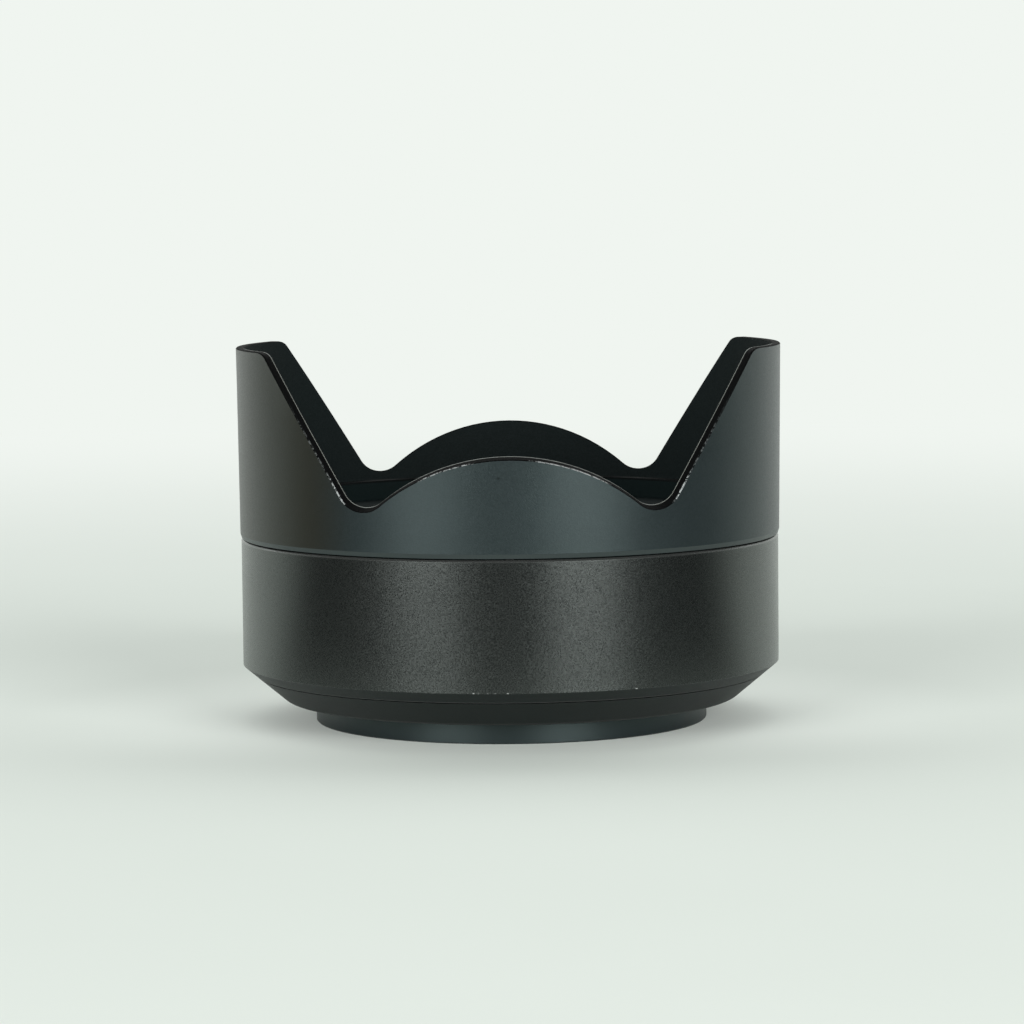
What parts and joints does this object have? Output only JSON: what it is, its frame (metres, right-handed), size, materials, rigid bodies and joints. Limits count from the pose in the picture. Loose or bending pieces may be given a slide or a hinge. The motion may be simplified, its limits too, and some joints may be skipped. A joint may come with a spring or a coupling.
{
  "type": "standard prime lens",
  "caption": "Compact manual standard lens with a petal hood, a focus ring, an aperture ring and a threaded base, standing on its base ring.",
  "frame": {"origin": "centre of the base ring's flat underside, which is the lowest point", "axes": "+Z is the optical axis towards the subject, -Y is the side that faces the camera in the picture, +X is to its right; the tall petals stand at +X and -X"},
  "size_m": [0.0686, 0.0684, 0.0474],
  "materials": {
    "satin_black_base": "satin black anodised, smooth",
    "blasted_black": "bead-blasted black anodised, fine sparkle",
    "satin_black_hood": "satin black with worn bright rim edges",
    "matt_black": "matt black paint",
    "black_alloy": "turned and black anodised",
    "bare_alloy": "turned, bare",
    "bright_steel": "bright",
    "dark_steel": "blackened",
    "turned_brass": "turned",
    "black_felt": "felt",
    "slip_film": "low-friction film",
    "coated_glass": "polished, coated"
  },
  "bodies": {
    "lens_body": {"mount_ring": "satin_black_base", "mount_screws": "dark_steel", "rear_hub": "black_alloy", "rear_baffle": "matt_black", "baffle_screws": "dark_steel", "click_ball": "bright_steel", "click_spring": "bright_steel", "click_screw": "bright_steel", "guide_tube": "bare_alloy", "guide_screws": "bright_steel", "focus_stop_pin": "bright_steel", "friction_washer": "slip_film", "front_collar": "matt_black", "collar_screws": "dark_steel", "hood_click_spring": "bright_steel", "hood_stop_pin": "bright_steel", "trim_ring": "matt_black", "felt_seal": "black_felt"},
    "aperture_control": {"aperture_ring": "blasted_black", "aperture_link": "bright_steel"},
    "focus_control": {"focus_ring": "blasted_black", "cam_tube": "turned_brass", "cam_tube_screws": "bright_steel"},
    "optical_unit": {"optical_barrel": "black_alloy", "cam_rollers": "turned_brass", "roller_screws": "bright_steel", "front_cell": "black_alloy", "cell_spacer": "matt_black", "front_retainer": "matt_black", "nose_ring": "matt_black", "front_element": "coated_glass", "middle_element": "coated_glass", "rear_flint_element": "coated_glass", "rear_crown_element": "coated_glass", "rear_cell": "matt_black", "rear_retainer": "matt_black", "iris_housing": "black_alloy", "iris_cover": "black_alloy", "iris_screws": "bright_steel"},
    "iris_drive": {"iris_ring": "black_alloy"},
    "hood": {"petal_hood": "satin_black_hood"},
    "blade_1": {"iris_blade_1": "dark_steel"},
    "blade_2": {"iris_blade_2": "dark_steel"},
    "blade_3": {"iris_blade_3": "dark_steel"},
    "blade_4": {"iris_blade_4": "dark_steel"},
    "blade_5": {"iris_blade_5": "dark_steel"},
    "blade_6": {"iris_blade_6": "dark_steel"}
  },
  "joints": [
    {"name": "aperture_turn", "type": "hinge", "parent": "lens_body", "child": "aperture_control", "pos_m": [0, 0, 0.0042], "axis": [0, 0, 1], "range_deg": [0, 45]},
    {"name": "focus_turn", "type": "hinge", "parent": "lens_body", "child": "focus_control", "pos_m": [0, 0, 0.015], "axis": [0, 0, 1], "range_deg": [0, 110]},
    {"name": "focus_slide", "type": "slide", "parent": "lens_body", "child": "optical_unit", "axis": [0, 0, 1], "range_m": [0, 0.0042]},
    {"name": "iris_turn", "type": "hinge", "parent": "optical_unit", "child": "iris_drive", "pos_m": [0, 0, 0.0116], "axis": [0, 0, 1], "range_deg": [0, 45]},
    {"name": "hood_twist", "type": "hinge", "parent": "lens_body", "child": "hood", "pos_m": [0, 0, 0.025], "axis": [0, 0, 1], "range_deg": [0, 60]},
    {"name": "blade_swing_1", "type": "hinge", "parent": "optical_unit", "child": "blade_1", "pos_m": [0.01339, 0.00236, 0.0136], "axis": [0, 0, 1], "range_deg": [0, 29]},
    {"name": "blade_swing_2", "type": "hinge", "parent": "optical_unit", "child": "blade_2", "pos_m": [0.00465, 0.01278, 0.0136], "axis": [0, 0, 1], "range_deg": [0, 29]},
    {"name": "blade_swing_3", "type": "hinge", "parent": "optical_unit", "child": "blade_3", "pos_m": [-0.00874, 0.01042, 0.0136], "axis": [0, 0, 1], "range_deg": [0, 29]},
    {"name": "blade_swing_4", "type": "hinge", "parent": "optical_unit", "child": "blade_4", "pos_m": [-0.01339, -0.00236, 0.0136], "axis": [0, 0, 1], "range_deg": [0, 29]},
    {"name": "blade_swing_5", "type": "hinge", "parent": "optical_unit", "child": "blade_5", "pos_m": [-0.00465, -0.01278, 0.0136], "axis": [0, 0, 1], "range_deg": [0, 29]},
    {"name": "blade_swing_6", "type": "hinge", "parent": "optical_unit", "child": "blade_6", "pos_m": [0.00874, -0.01042, 0.0136], "axis": [0, 0, 1], "range_deg": [0, 29]}
  ],
  "couplings": [
    {"joint": "focus_slide", "follows": "focus_turn", "m_per_rad": 0.0021877},
    {"joint": "iris_turn", "follows": "aperture_turn", "ratio": 1},
    {"joint": "blade_swing_1", "follows": "aperture_turn", "ratio": 0.64444},
    {"joint": "blade_swing_2", "follows": "aperture_turn", "ratio": 0.64444},
    {"joint": "blade_swing_3", "follows": "aperture_turn", "ratio": 0.64444},
    {"joint": "blade_swing_4", "follows": "aperture_turn", "ratio": 0.64444},
    {"joint": "blade_swing_5", "follows": "aperture_turn", "ratio": 0.64444},
    {"joint": "blade_swing_6", "follows": "aperture_turn", "ratio": 0.64444}
  ]
}
